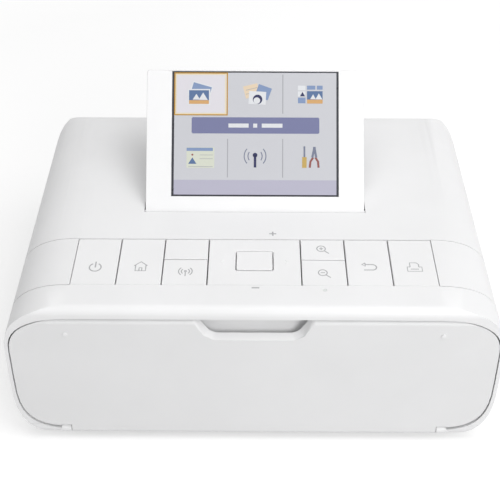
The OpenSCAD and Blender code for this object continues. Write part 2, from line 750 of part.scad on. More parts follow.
module ink_cassette_shell() {
    mid_y = supply_y + tube_pitch / 2;
    color("dimgray") difference() {
        union() {
            tube(supply_y);
            tube(take_up_y);
            for (x = [tube_x0, tube_x1 - 1.5]) difference() {
                block(x, x + 1.5, supply_y, take_up_y, tube_z - tube_r, film_z + 0.3);
                for (y = [supply_y, take_up_y]) rod_x(x - 1, x + 3, y, tube_z, tube_r - tube_t);
            }
            block(tube_x1 - 0.5, tube_x1 + 2, mid_y - 9, mid_y + 9, tube_z - tube_r, tube_z - 3);
            block(tube_x1 + 1, grip_x, mid_y - 8, mid_y + 8, tube_z - 7.5, tube_z - 4.5);
        }
        block(tube_x0 + 1.6, tube_x1 - 1.6, supply_y, take_up_y, film_z - 0.9, film_z + 0.9);
    }
}
module spool(y) {
    difference() {
        union() {
            rod_x(tube_x0 + 2.2, tube_x1 - 2.2, y, tube_z, core_r);
            rod_x(-film_half_w, film_half_w, y, tube_z, film_r - film_t - 0.05);
            rod_x(tube_x0 + 0.2, tube_x1 - 0.2, y, tube_z, hub_r);
        }
        rod_x(tube_x0 - 1, tube_x0 + 9, y, tube_z, 1.4);
        block(tube_x0 - 1, tube_x0 + 4, y - 0.5, y + 0.5, tube_z - 2, tube_z + 2);
    }
}
module supply_spool() { color("gold") spool(supply_y); }
module take_up_spool() { color("slategray") spool(take_up_y); }
module ribbon_film() {
    color("goldenrod") block(-film_half_w, film_half_w, supply_y + 1, take_up_y - 1, film_z - film_t,
        film_z);
}

/* Drive train: places of the axes in the plane of the gears, as [y, z] */
platen_z = exit_z - platen_r;
feed_y = main_board_y - 4;
feed_z = exit_z - feed_r;
pinch_z = exit_z + seat_gap + pinch_r;
pickup_z = bay_z + bay_h + pickup_r - 2;
platen_at = [platen_y, platen_z];
feed_at = [feed_y, feed_z];
pickup_at = [pickup_y, pickup_z];

function centres(a, b) = gear_module * (a + b) / 2;
// The point at distance ra from a and rb from b, to the left of the way from a to b.
function corner(a, b, ra, rb) =
    let (d = norm(b - a), u = (b - a) / d, p = (d * d + ra * ra - rb * rb) / (2 * d),
        h = sqrt(ra * ra - p * p))
    a + p * u + h * [-u[1], u[0]];
function bearing(a, b) = atan2(b[1] - a[1], b[0] - a[0]);
// The phase of gear b that meshes with gear a.
function mesh_phase(a, b, teeth_a, teeth_b, phase_a) =
    bearing(a, b) + 180 - 180 / teeth_b + (bearing(a, b) - phase_a) * teeth_a / teeth_b;

idler_at = corner(platen_at, feed_at, centres(idler_teeth, idler_teeth), centres(idler_teeth, feed_teeth));
transfer_at = corner(pickup_at, idler_at, centres(pickup_teeth, transfer_teeth),
    centres(transfer_teeth, idler_teeth));
motor_rise = 7.5;
motor_reach = centres(pinion_teeth, pickup_teeth);
motor_at = pickup_at + [-sqrt(motor_reach * motor_reach - motor_rise * motor_rise), motor_rise];

platen_phase = 0;
idler_phase = mesh_phase(platen_at, idler_at, idler_teeth, idler_teeth, platen_phase);
feed_phase = mesh_phase(idler_at, feed_at, idler_teeth, feed_teeth, idler_phase);
transfer_phase = mesh_phase(idler_at, transfer_at, idler_teeth, transfer_teeth, idler_phase);
pickup_phase = mesh_phase(transfer_at, pickup_at, transfer_teeth, pickup_teeth, transfer_phase);
pinion_phase = mesh_phase(pickup_at, motor_at, pickup_teeth, pinion_teeth, pickup_phase);

// Involute teeth: each flank is an involute of the base circle, thinned by the backlash.
pressure = 20;
backlash = 0.16;
flank_steps = 4;
function involute(x) = tan(x) * 180 / PI - x;
function tooth_half_angle(teeth, r) =
    let (pitch_r = gear_module * teeth / 2, base_r = pitch_r * cos(pressure), at = max(r, base_r))
    90 / teeth - backlash / 2 / pitch_r * 180 / PI + involute(pressure) - involute(acos(base_r / at));
function tooth_points(teeth, turn) =
    let (pitch_r = gear_module * teeth / 2, root_r = pitch_r - 1.2 * gear_module,
        tip_r = pitch_r + 0.92 * gear_module, low = max(root_r, pitch_r * cos(pressure)))
    concat(
        [let (a = tooth_half_angle(teeth, low)) root_r * [cos(turn - a), sin(turn - a)]],
        [for (i = [0 : flank_steps]) let (r = low + (tip_r - low) * i / flank_steps + (i == 0 ? eps : 0),
            a = tooth_half_angle(teeth, r)) r * [cos(turn - a), sin(turn - a)]],
        [for (i = [flank_steps : -1 : 0]) let (r = low + (tip_r - low) * i / flank_steps + (i == 0 ? eps : 0),
            a = tooth_half_angle(teeth, r)) r * [cos(turn + a), sin(turn + a)]],
        [let (a = tooth_half_angle(teeth, low)) root_r * [cos(turn + a), sin(turn + a)]]);
module gear(at, teeth, phase, bore) {
    translate([gear_x0, at[0], at[1]]) along_x() linear_extrude(gear_w) difference() {
        polygon([for (i = [0 : teeth - 1]) each tooth_points(teeth, phase + i * 360 / teeth)]);
        circle(r = bore, $fn = 48);
    }
}

/* Chassis */
chassis_t = 1.2;
chassis_y0 = pickup_y - 28;
chassis_y1 = main_board_y + 7;
gear_x0 = -chassis_x - 8;
gear_x1 = gear_x0 + gear_w;
shaft_x0 = gear_x0 - 2.2;
shaft_x1 = chassis_x + chassis_t + 2.4;
pinch_shaft_r = 1.5;
motor_r = 7.5;
motor_l = 28;
motor_shaft_r = 1;
tie_at = [[pickup_y + 1.5, 51.5], [chassis_y1 - 3, 9], [bay_y1 + 8, 9]];
tie_r = 2;
slide_y = supply_y + tube_pitch / 2;
lift = 8.3;
carriage_pin_r = 1.5;
carriage_pin_z = 56.6;
chassis_foot = floor_z + 0.2;
chassis_top = inner_top - 0.9;
chassis_front_top = board_z - 1.8;
chassis_step_y = board_y1 + 9;
carriage_z0 = carriage_pin_z - 9;
carriage_z1 = carriage_z0 + 4;
carriage_half_d = 3.5;
module side_plate_outline() {
    polygon([[chassis_y0, chassis_foot], [chassis_y1, chassis_foot], [chassis_y1, chassis_top - 4],
        [chassis_y1 - 8, chassis_top], [chassis_step_y, chassis_top],
        [chassis_step_y - 4, chassis_front_top], [chassis_y0, chassis_front_top]]);
}
module shaft_hole(at, r) { translate(at) circle(r = r, $fn = 48); }
module side_plate(x) {
    translate([x, 0, 0]) along_x() linear_extrude(chassis_t) difference() {
        side_plate_outline();
        for (p = [platen_at, feed_at, pickup_at]) shaft_hole(p, shaft_r + run_gap);
        shaft_hole([feed_y, pinch_z], pinch_shaft_r + run_gap);
        translate([slide_y - carriage_pin_r - run_gap, carriage_pin_z - lift - carriage_pin_r - 0.3])
            square([2 * (carriage_pin_r + run_gap), lift + carriage_pin_r + 0.3]);
        shaft_hole([slide_y, carriage_pin_z], carriage_pin_r + run_gap);
        children();
    }
}
module chassis_left() {
    color("silver") {
        side_plate(-chassis_x - chassis_t) shaft_hole(motor_at, motor_shaft_r + 1);
        for (p = [idler_at, transfer_at]) {
            rod_x(gear_x0 - 0.4, -chassis_x, p[0], p[1], shaft_r);
            rod_x(gear_x1 + 0.4, -chassis_x - eps, p[0], p[1], shaft_r + 1.5);
        }
    }
}
module chassis_right() {
    color("silver") side_plate(chassis_x)
        translate([supply_y - tube_r - 1.4, tube_z - tube_r - 1])
            square([tube_pitch + 2 * tube_r + 2.8, 2 * tube_r + 2]);
}
module tie_bars() {
    color("silver") for (p = tie_at) rod_x(-chassis_x + 0.02, chassis_x - 0.02, p[0], p[1], tie_r);
}

/* Print head group: a carriage that lowers the head onto the platen */
head_foot = film_z + 0.6;
module head_carriage() {
    color("silver") {
        difference() {
            block(-chassis_x + 0.6, chassis_x - 0.6, slide_y - carriage_half_d, slide_y + carriage_half_d,
                carriage_z0, carriage_z1);
            block(-head_l / 2 - 0.05, head_l / 2 + 0.05, slide_y - 2.6, slide_y + 2.6, carriage_z0 - 1,
                carriage_z1 - 1.2);
        }
        mirror_copy() {
            block(chassis_x - 4.6, chassis_x - 0.6, slide_y - 2, slide_y + 2, carriage_z1 - 0.6,
                carriage_pin_z + 2);
            rod_x(chassis_x - 1, chassis_x + chassis_t + 0.6, slide_y, carriage_pin_z, carriage_pin_r);
        }
    }
}
module heat_sink() {
    color("lightgray") difference() {
        union() {
            block(-head_l / 2, head_l / 2, slide_y - 2.5, slide_y + 2.5, head_foot + 1.6,
                carriage_z1 - 1.25);
            block(-head_l / 2, head_l / 2, slide_y - 3.4, slide_y + 3.4, head_foot + 1.6, head_foot + 4);
        }
        for (z = [head_foot + 6 : 2.6 : carriage_z0 - 1.6]) {
            block(-head_l, head_l, slide_y - 3, slide_y - 1.4, z, z + 1.2);
            block(-head_l, head_l, slide_y + 1.4, slide_y + 3, z, z + 1.2);
        }
    }
}
module thermal_head() {
    color("ivory") {
        block(-film_half_w, film_half_w, slide_y - 3.2, slide_y + 3.2, head_foot + 0.5,
            head_foot + 1.58);
        intersection() {
            rod_x(-film_half_w + 1, film_half_w - 1, slide_y, head_foot + 1.2, 1.2);
            block(-head_l, head_l, slide_y - 2, slide_y + 2, head_foot - 0.1, head_foot + 0.6);
        }
    }
}

/* Rollers and shafts */
roller_x = chassis_x - 7;
module roller(at, r, bore, half_l) {
    difference() {
        rod_x(-half_l, half_l, at[0], at[1], r);
        rod_x(-half_l - 1, half_l + 1, at[0], at[1], bore);
    }
}
module platen_roller() { color("dimgray") roller(platen_at, platen_r, shaft_r, roller_x); }
module platen_shaft() { color("silver") rod_x(shaft_x0, shaft_x1, platen_y, platen_z, shaft_r); }
module platen_gear() { color("ivory") gear(platen_at, idler_teeth, platen_phase, shaft_r); }
module feed_roller() {
    color("silver") {
        rod_x(-roller_x, roller_x, feed_y, feed_z, feed_r);
        rod_x(shaft_x0, shaft_x1, feed_y, feed_z, shaft_r);
    }
}
module feed_gear() { color("ivory") gear(feed_at, feed_teeth, feed_phase, shaft_r); }
module pinch_roller() {
    color("dimgray") {
        rod_x(-roller_x, roller_x, feed_y, pinch_z, pinch_r);
        rod_x(-chassis_x - chassis_t - 0.8, chassis_x + chassis_t + 0.8, feed_y, pinch_z, pinch_shaft_r);
    }
}
module pickup_roller() { color("dimgray") roller(pickup_at, pickup_r, shaft_r, pickup_half_l); }
module pickup_shaft() { color("silver") rod_x(shaft_x0, shaft_x1, pickup_y, pickup_z, shaft_r); }
module pickup_gear() { color("ivory") gear(pickup_at, pickup_teeth, pickup_phase, shaft_r); }
module transfer_gear() {
    color("ivory") gear(transfer_at, transfer_teeth, transfer_phase, shaft_r + run_gap);
}
module idler_gear() { color("ivory") gear(idler_at, idler_teeth, idler_phase, shaft_r + run_gap); }
module drive_motor() {
    color("silver") difference() {
        rod_x(-chassis_x + 0.05, -chassis_x + motor_l, motor_at[0], motor_at[1], motor_r);
        rod_x(-chassis_x - 1, -chassis_x + 12, motor_at[0], motor_at[1], motor_shaft_r + run_gap);
    }
}
module motor_pinion() {
    color("goldenrod") {
        gear(motor_at, pinion_teeth, pinion_phase, motor_shaft_r);
        rod_x(gear_x0 - 0.5, -chassis_x + 10, motor_at[0], motor_at[1], motor_shaft_r);
    }
}
module shaft_clips() {
    // Rings on the ends of the two gear studs, which keep the gears on.
    color("black") for (p = [idler_at, transfer_at]) difference() {
        rod_x(gear_x0 - 1.1, gear_x0 - 0.3, p[0], p[1], shaft_r + 1.6);
        rod_x(gear_x0 - 0.4, gear_x0, p[0], p[1], shaft_r);
    }
}

/* Boards, sockets and guides */
main_board_z0 = 28.5;
main_board_z1 = 50;
module main_board() {
    color("darkgreen") {
        block(-chassis_x + 0.05, chassis_x - 0.05, main_board_y, main_board_y + board_t, main_board_z0,
            main_board_z1);
        block(-38, -20, main_board_y + board_t, main_board_y + board_t + 2, 32, 47);
        block(-12, -2, main_board_y + board_t, main_board_y + board_t + 1.5, 34, 44);
        for (x = [6, 14]) rod_y(x, main_board_y + board_t, main_board_y + board_t + 7, 34, 3);
    }
}
module power_inlet() {
    color("black") difference() {
        union() {
            block(inlet_x - 4.5, inlet_x + 4.5, main_board_y + board_t + 0.05, rear_y - wall - 0.2,
                inlet_z - 5.5, inlet_z + 5.5);
            rod_y(inlet_x, rear_y - wall - 1, rear_y - 0.6, inlet_z, 4);
        }
        difference() {
            rod_y(inlet_x, rear_y - 10, rear_y + 1, inlet_z, 2.9);
            rod_y(inlet_x, rear_y - 11, rear_y - 2, inlet_z, 0.9);
        }
    }
}
module usb_socket() {
    color("silver") difference() {
        block(usb_x - 3.9, usb_x + 3.9, main_board_y + board_t + 0.05, rear_y - 0.6, usb_z - 2.1,
            usb_z + 2.1);
        block(usb_x - 3.4, usb_x + 3.4, rear_y - 7, rear_y + 1, usb_z - 1.6, usb_z - 0.4);
        block(usb_x - 3.4, usb_x + 3.4, rear_y - 7, rear_y + 1, usb_z + 0.6, usb_z + 1.6);
    }
}
module exit_guide() {
    color("darkgray") difference() {
        block(-exit_w / 2 - 1.2, exit_w / 2 + 1.2, exit_y0, rear_y - wall - 0.15, exit_z - exit_h / 2 - 1.2,
            exit_z + exit_h / 2 + 1.2);
        block(-exit_w / 2, exit_w / 2, exit_y0 - 1, rear_y, exit_z - exit_h / 2, exit_z + exit_h / 2);
    }
}
module side_board() {
    color("darkgreen") block(side_board_x0, side_board_x1, -55, -20.5, side_board_z,
        side_board_z + board_t);
}
module card_slot() {
    color("silver") difference() {
        block(side_board_x0 + 1.5, half_w - 2.5, card_y - 14, card_y + 14, side_board_z + board_t + 0.02,
            card_z + 1.9);
        block(side_board_x0 + 4.5, half_w, card_y - 12.2, card_y + 12.2, card_z - 1.1, card_z + 1.1);
    }
}
module usb_host_socket() {
    color("silver") difference() {
        union() {
            block(side_board_x0 + 7.5, half_w - 1, host_y - 6.7, host_y + 6.7, host_z - 2.9, host_z + 2.9);
            block(side_board_x0 + 7.5, side_board_x1 - 2, host_y - 6.7, host_y + 6.7, host_z + 2,
                side_board_z - 0.05);
        }
        block(side_board_x1 - 8, half_w, host_y - 6.2, host_y + 6.2, host_z - 2.4, host_z + 0.1);
        block(side_board_x1 - 8, half_w, host_y - 6.2, host_y + 6.2, host_z + 1.6, host_z + 2.4);
    }
}

lower_case();
upper_case();
front_frame();
cassette_bay();
front_cover();
rubber_feet();
case_screws();
power_key();
home_key();
menu_key();
wireless_key();
four_way_pad();
pad_gimbal();
ok_key();
zoom_in_key();
zoom_out_key();
back_key();
print_key();
key_board();
key_board_screws();
indicator_lens();
screen_bezel();
screen_back_cover();
display_module();
display_window();
screen_hinge_pins();
ink_door();
ink_door_pin();
ink_cassette_shell();
supply_spool();
take_up_spool();
ribbon_film();
chassis_left();
chassis_right();
tie_bars();
head_carriage();
heat_sink();
thermal_head();
platen_roller();
platen_shaft();
platen_gear();
feed_roller();
feed_gear();
pinch_roller();
pickup_roller();
pickup_shaft();
pickup_gear();
transfer_gear();
idler_gear();
drive_motor();
motor_pinion();
main_board();
power_inlet();
usb_socket();
exit_guide();
battery_cover();
side_board();
card_slot();
usb_host_socket();
shaft_clips();
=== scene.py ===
import json
import math

import bmesh
import bpy
from mathutils import Matrix, Vector

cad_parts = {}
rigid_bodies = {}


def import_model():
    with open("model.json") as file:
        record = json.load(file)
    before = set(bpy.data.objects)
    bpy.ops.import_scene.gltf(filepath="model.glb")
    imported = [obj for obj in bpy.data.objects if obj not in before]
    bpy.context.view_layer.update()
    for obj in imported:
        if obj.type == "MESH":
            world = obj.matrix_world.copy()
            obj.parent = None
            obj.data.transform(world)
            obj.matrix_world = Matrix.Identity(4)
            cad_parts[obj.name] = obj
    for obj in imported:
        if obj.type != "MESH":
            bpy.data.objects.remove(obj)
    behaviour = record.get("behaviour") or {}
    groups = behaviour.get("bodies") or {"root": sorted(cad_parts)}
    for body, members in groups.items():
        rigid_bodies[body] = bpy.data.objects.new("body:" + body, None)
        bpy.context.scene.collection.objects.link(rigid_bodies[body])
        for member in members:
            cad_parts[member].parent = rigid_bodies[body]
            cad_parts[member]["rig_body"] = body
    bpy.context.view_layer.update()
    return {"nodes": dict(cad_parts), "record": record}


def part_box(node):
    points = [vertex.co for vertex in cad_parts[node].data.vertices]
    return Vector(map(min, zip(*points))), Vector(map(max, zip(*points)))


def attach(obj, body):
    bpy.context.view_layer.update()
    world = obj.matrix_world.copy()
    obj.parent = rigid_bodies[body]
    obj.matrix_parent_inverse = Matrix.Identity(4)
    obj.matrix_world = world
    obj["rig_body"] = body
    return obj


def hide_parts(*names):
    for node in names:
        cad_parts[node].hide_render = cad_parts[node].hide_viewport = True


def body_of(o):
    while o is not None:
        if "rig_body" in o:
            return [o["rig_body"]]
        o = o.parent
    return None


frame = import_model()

MM = 0.001


# ---------------------------------------------------------------- finishes

def shader_tree(name, colour, roughness, **settings):
    """A new material, its node tree and its surface shader."""
    material = bpy.data.materials.new(name)
    material.use_nodes = True
    tree = material.node_tree
    surface = tree.nodes["Principled BSDF"]
    surface.inputs["Base Color"].default_value = (*colour, 1)
    surface.inputs["Roughness"].default_value = roughness
    for socket, number in settings.items():
        surface.inputs[socket.replace("_", " ")].default_value = number
    return material, tree, surface


def object_place(tree, scale=(1, 1, 1)):
    """The place on the object, stretched by scale."""
    place = tree.nodes.new("ShaderNodeTexCoord")
    stretch = tree.nodes.new("ShaderNodeMapping")
    stretch.inputs["Scale"].default_value = scale
    tree.links.new(place.outputs["Object"], stretch.inputs["Vector"])
    return stretch.outputs["Vector"]


def noise(tree, place, size, detail=2.0, rough=0.5):
    """A noise pattern whose spots are about size across, in metres."""
    pattern = tree.nodes.new("ShaderNodeTexNoise")
    pattern.inputs["Scale"].default_value = 1 / size
    pattern.inputs["Detail"].default_value = detail
    pattern.inputs["Roughness"].default_value = rough
    tree.links.new(place, pattern.inputs["Vector"])
    return pattern.outputs["Fac"]


def tint(tree, amount, low, high):
    """A colour that runs from low to high as amount rises."""
    ramp = tree.nodes.new("ShaderNodeValToRGB")
    ramp.color_ramp.elements[0].position = 0.35
    ramp.color_ramp.elements[0].color = (*low, 1)
    ramp.color_ramp.elements[1].position = 0.65
    ramp.color_ramp.elements[1].color = (*high, 1)
    tree.links.new(amount, ramp.inputs["Fac"])
    return ramp.outputs["Color"]


def spread(tree, amount, low, high, start=0.3, end=0.7):
    """A number that runs from low to high as amount rises."""
    change = tree.nodes.new("ShaderNodeMapRange")
    change.inputs["From Min"].default_value = start
    change.inputs["From Max"].default_value = end
    change.inputs["To Min"].default_value = low
    change.inputs["To Max"].default_value = high
    tree.links.new(amount, change.inputs["Value"])
    return change.outputs["Result"]


def relief(tree, surface, height, depth, strength, under=None):
    """Raises the surface by height times depth, in metres."""
    bump = tree.nodes.new("ShaderNodeBump")
    bump.inputs["Distance"].default_value = depth
    bump.inputs["Strength"].default_value = strength
    tree.links.new(height, bump.inputs["Height"])
    if under is not None:
        tree.links.new(under, bump.inputs["Normal"])
    tree.links.new(bump.outputs["Normal"], surface.inputs["Normal"])
    return bump.outputs["Normal"]


def shade(colour, share):
    """The colour at a share of its brightness."""
    return tuple(channel * share for channel in colour)


TONE_DRIFT = 0.025


def moulded_plastic(name, colour, roughness=0.42, grain=0.25, depth=0.006, **settings):
    """Moulded plastic: a fine spark-eroded grain, slow changes of tone and gloss, faint handling marks."""
    material, tree, surface = shader_tree(name, colour, roughness, **settings)
    place = object_place(tree)
    slow = noise(tree, place, 28 * MM, 3.0)
    tree.links.new(tint(tree, slow, shade(colour, 1 - TONE_DRIFT), colour), surface.inputs["Base Color"])
    rubbed = noise(tree, object_place(tree, (1, 2.5, 1)), 7 * MM, 4.0, 0.6)
    gloss = spread(tree, rubbed, roughness - 0.05, roughness + 0.06)
    tree.links.new(gloss, surface.inputs["Roughness"])
    sink = relief(tree, surface, noise(tree, place, 14 * MM, 1.0), 0.03 * MM, 0.5)
    relief(tree, surface, noise(tree, place, grain * MM, 2.0, 0.6), depth * MM, 0.6, sink)
    return material


def rubber(name, colour):
    """Soft rubber: matt, with a fine ground texture."""
    material, tree, surface = shader_tree(name, colour, 0.85)
    place = object_place(tree)
    dust = noise(tree, place, 3 * MM, 4.0)
    tree.links.new(tint(tree, dust, colour, shade(colour, 1.5)), surface.inputs["Base Color"])
    tree.links.new(spread(tree, dust, 0.75, 0.95), surface.inputs["Roughness"])
    relief(tree, surface, noise(tree, place, 0.3 * MM, 3.0), 0.05 * MM, 0.7)
    return material


def drawn_metal(name, colour, roughness=0.32):
    """Rolled or turned metal: fine lines along X, with uneven gloss."""
    material, tree, surface = shader_tree(name, colour, roughness, Metallic=1.0)
    lines = noise(tree, object_place(tree, (0.04, 1, 1)), 0.5 * MM, 3.0)
    cloud = noise(tree, object_place(tree), 12 * MM, 3.0)
    tree.links.new(tint(tree, cloud, shade(colour, 0.88), colour), surface.inputs["Base Color"])
    tree.links.new(spread(tree, lines, roughness - 0.08, roughness + 0.1), surface.inputs["Roughness"])
    relief(tree, surface, lines, 0.01 * MM, 0.5)
    return material


def circuit_board(name):
    """Green solder mask over copper tracks, with a thin gloss."""
    mask, track = (0.012, 0.085, 0.035), (0.03, 0.17, 0.07)
    material, tree, surface = shader_tree(name, mask, 0.35, Coat_Weight=0.4, Coat_Roughness=0.2)
    tracks = tree.nodes.new("ShaderNodeTexBrick")
    tracks.inputs["Color1"].default_value = (*mask, 1)
    tracks.inputs["Color2"].default_value = (*shade(mask, 1.25), 1)
    tracks.inputs["Mortar"].default_value = (*track, 1)
    tracks.inputs["Scale"].default_value = 160
    tracks.inputs["Mortar Size"].default_value = 0.06
    tree.links.new(object_place(tree), tracks.inputs["Vector"])
    tree.links.new(tracks.outputs["Color"], surface.inputs["Base Color"])
    relief(tree, surface, tracks.outputs["Fac"], 0.03 * MM, 0.4)
    return material


def wound_film(name, colour, sheen):
    """Coated film: smooth, with faint bands across its length and a dull sheen."""
    material, tree, surface = shader_tree(name, colour, 0.25, Coat_Weight=sheen, Coat_Roughness=0.1)
    bands = noise(tree, object_place(tree, (1, 0.05, 0.05)), 1.2 * MM, 2.0)
    tree.links.new(tint(tree, bands, shade(colour, 0.85), colour), surface.inputs["Base Color"])
    relief(tree, surface, bands, 0.02 * MM, 0.4)
    return material


def ceramic(name, colour):
    """Glazed ceramic: pale and slightly mottled."""
    material, tree, surface = shader_tree(name, colour, 0.3, Coat_Weight=0.3)
    specks = noise(tree, object_place(tree), 1.5 * MM, 4.0)
    tree.links.new(tint(tree, specks, shade(colour, 0.92), colour), surface.inputs["Base Color"])
    relief(tree, surface, specks, 0.01 * MM, 0.3)
    return material


def printed_ink(name, colour):
    """Ink printed on plastic: thin, matt, a little uneven."""
    material, tree, surface = shader_tree(name, colour, 0.5)
    cover = noise(tree, object_place(tree), 0.4 * MM, 3.0)
    tree.links.new(tint(tree, cover, colour, shade(colour, 1.12)), surface.inputs["Base Color"])
    relief(tree, surface, cover, 0.004 * MM, 0.4)
    return material


def display_colour(name, colour):
    """A lit area of the display under its clear window: even, with faint pixel rows."""
    material, tree, surface = shader_tree(
        name, colour, 0.22, Coat_Weight=0.5, Coat_Roughness=0.08, Specular_IOR_Level=0.4)
    rows = tree.nodes.new("ShaderNodeTexWave")
    rows.bands_direction = "X"
    rows.inputs["Scale"].default_value = 1 / (1.1 * MM)
    tree.links.new(object_place(tree), rows.inputs["Vector"])
    lit = tint(tree, rows.outputs["Fac"], shade(colour, 0.985), colour)
    tree.links.new(lit, surface.inputs["Base Color"])
    return material


WHITE = (0.8, 0.8, 0.805)
case_white = moulded_plastic("case_white_plastic", WHITE)
# The front cover's plastic is darker than the case white: partly a light grey tone of its own, partly painted
# shade where the front face gets less light.
shaded_cover_white = moulded_plastic("cover_plastic_with_painted_shade", (0.755, 0.755, 0.76), roughness=0.5)
key_white = moulded_plastic("key_white_plastic", (0.81, 0.81, 0.815), roughness=0.36, depth=0.004)
screen_white = moulded_plastic("screen_white_plastic", (0.82, 0.82, 0.825), roughness=0.4, grain=0.5,
                               depth=0.002)
frame_white = moulded_plastic("frame_white_plastic", WHITE, roughness=0.5, grain=0.35)
bay_grey = moulded_plastic("bay_grey_plastic", (0.22, 0.22, 0.225), roughness=0.6, grain=0.4)
dark_plastic = moulded_plastic("dark_plastic", (0.045, 0.045, 0.05), roughness=0.4)
gear_plastic = moulded_plastic("acetal_plastic", (0.72, 0.69, 0.6), roughness=0.35, depth=0.003)
lens_plastic = moulded_plastic("lens_plastic", (0.72, 0.74, 0.73), roughness=0.15, Coat_Weight=0.5)
foot_rubber = rubber("foot_rubber", (0.035, 0.035, 0.037))
roller_rubber = rubber("roller_rubber", (0.03, 0.03, 0.032))
steel = drawn_metal("zinc_steel", (0.62, 0.62, 0.63))
aluminium = drawn_metal("extruded_aluminium", (0.75, 0.75, 0.76), 0.4)
brass = drawn_metal("pinion_brass", (0.72, 0.52, 0.24), 0.28)
board_green = circuit_board("green_circuit_board")
supply_film = wound_film("supply_film", (0.55, 0.36, 0.08), 0.6)
used_film = wound_film("used_film", (0.12, 0.13, 0.17), 0.6)
white_ceramic = ceramic("head_ceramic", (0.78, 0.76, 0.7))
screen_black = moulded_plastic("screen_black_plastic", (0.02, 0.021, 0.03), roughness=0.3, depth=0.003)
mark_grey = printed_ink("mark_grey_ink", (0.36, 0.36, 0.37))

NODE_FINISH = {
    "lower_case": case_white, "upper_case": case_white, "front_cover": shaded_cover_white,
    "front_frame": frame_white, "cassette_bay": bay_grey, "rubber_feet": foot_rubber,
    "case_screws": steel, "power_key": key_white, "home_key": key_white, "menu_key": key_white,
    "wireless_key": key_white, "four_way_pad": key_white, "pad_gimbal": steel,
    "ok_key": key_white, "zoom_in_key": key_white, "zoom_out_key": key_white,
    "back_key": key_white, "print_key": key_white, "key_board": board_green,
    "key_board_screws": steel, "indicator_lens": lens_plastic, "screen_bezel": screen_white,
    "screen_back_cover": screen_white, "display_module": screen_black,
    "display_window": screen_black, "screen_hinge_pins": steel, "ink_door": case_white,
    "ink_door_pin": steel, "ink_cassette_shell": dark_plastic, "supply_spool": supply_film,
    "take_up_spool": used_film, "ribbon_film": supply_film, "chassis_left": steel,
    "chassis_right": steel, "tie_bars": steel, "head_carriage": steel, "heat_sink": aluminium,
    "thermal_head": white_ceramic, "platen_roller": roller_rubber, "platen_shaft": steel,
    "platen_gear": gear_plastic, "feed_roller": steel, "feed_gear": gear_plastic,
    "pinch_roller": roller_rubber, "pickup_roller": roller_rubber, "pickup_shaft": steel,
    "pickup_gear": gear_plastic, "transfer_gear": gear_plastic, "idler_gear": gear_plastic,
    "drive_motor": steel, "motor_pinion": brass, "main_board": board_green,
    "power_inlet": dark_plastic, "usb_socket": steel, "exit_guide": bay_grey,
    "battery_cover": case_white, "side_board": board_green, "card_slot": steel,
    "usb_host_socket": steel, "shaft_clips": dark_plastic,
}
for node, finish in NODE_FINISH.items():
    mesh = frame["nodes"][node].data
    mesh.materials.clear()
    mesh.materials.append(finish)

BODY_OF = {node: body_of(frame["nodes"][node])[0] for node in frame["nodes"]}


# ---------------------------------------------------------------- making pieces

def piece(name, shape, finish, body, stands_for=(), sharp=32, weigh=True):
    """Turns a bmesh into a piece that rides on a body. Edges turned by more than sharp degrees stay crisp."""
    if not stands_for:
        bmesh.ops.recalc_face_normals(shape, faces=shape.faces)
    limit = math.radians(sharp)
    for face in shape.faces:
        face.smooth = True
    for edge in shape.edges:
        edge.smooth = edge.is_manifold and edge.calc_face_angle(math.pi) < limit
    mesh = bpy.data.meshes.new(name)
    shape.to_mesh(mesh)
    shape.free()
    mesh.materials.append(finish)
    made = bpy.data.objects.new(name, mesh)
    bpy.context.scene.collection.objects.link(made)
    if weigh:
        level = made.modifiers.new("even_normals", "WEIGHTED_NORMAL")
        level.keep_sharp = True
    if stands_for:
        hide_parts(*stands_for)
    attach(made, body)
    return made


def merged_copy(node):
    """The CAD node's mesh with its triangles joined into whole faces."""
    shape = bmesh.new()
    shape.from_mesh(frame["nodes"][node].data)
    bmesh.ops.remove_doubles(shape, verts=shape.verts, dist=0.003 * MM)
    bmesh.ops.dissolve_limit(shape, angle_limit=math.radians(0.5), use_dissolve_boundaries=False,
                             verts=shape.verts, edges=shape.edges)
    return shape


def soften(shape, width, where, segments=3, turn=40):
    """Rounds the crisp edges that where() picks, as a mould does."""
    limit = math.radians(turn)
    picked = [edge for edge in shape.edges
              if edge.is_manifold and edge.calc_face_angle(0) > limit and where(edge)]
    bmesh.ops.bevel(shape, geom=picked, offset=width, offset_type="OFFSET", segments=segments,
                    profile=0.5, affect="EDGES", clamp_overlap=True, material=-1, loop_slide=True)


def middle(edge):
    """The middle of an edge."""
    return (edge.verts[0].co + edge.verts[1].co) / 2


# ---------------------------------------------------------------- case and cover

JOINTS = {joint["name"]: joint for joint in frame["record"]["behaviour"]["joints"]}


def hinge_frame(joint, turn):
    """The frame on a hinge line, turned about X by turn degrees: X along it, Z or Y up the hinged piece."""
    return Matrix.Translation(JOINTS[joint]["pos_m"]) @ Matrix.Rotation(math.radians(turn), 4, "X")


def extent(node, place):
    """(lowest, highest) corner of a CAD node in the frame place."""
    back = place.inverted()
    points = [back @ vert.co for vert in frame["nodes"][node].data.vertices]
    return (Vector(min(point[axis] for point in points) for axis in range(3)),
            Vector(max(point[axis] for point in points) for axis in range(3)))


LEAN, SCREEN_TILT = 6, 46
on_front = hinge_frame("front_cover_hinge", -LEAN)
on_screen = hinge_frame("screen_tilt", SCREEN_TILT)
case_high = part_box("upper_case")[1]
cover_low, cover_high = extent("front_cover", on_front)

FLUSH = 0.02 * MM
SOFT_EDGE = 0.35 * MM
NOTCH_FOOT_R, NOTCH_TOP_R, NOTCH_TOP_X = 2.2 * MM, 1.3 * MM, 20.4 * MM


def at_top(edge):
    """Edges in the case's flat top."""
    return all(vert.co.z > case_high.z - FLUSH for vert in edge.verts)


upper = merged_copy("upper_case")
soften(upper, SOFT_EDGE, at_top)
piece("upper_case_shell", upper, case_white, "case", ("upper_case",))
piece("lower_case_shell", merged_copy("lower_case"), case_white, "case", ("lower_case",))


def in_cover(vert):
    """A point's place in the front cover's own frame."""
    return on_front.inverted() @ vert.co


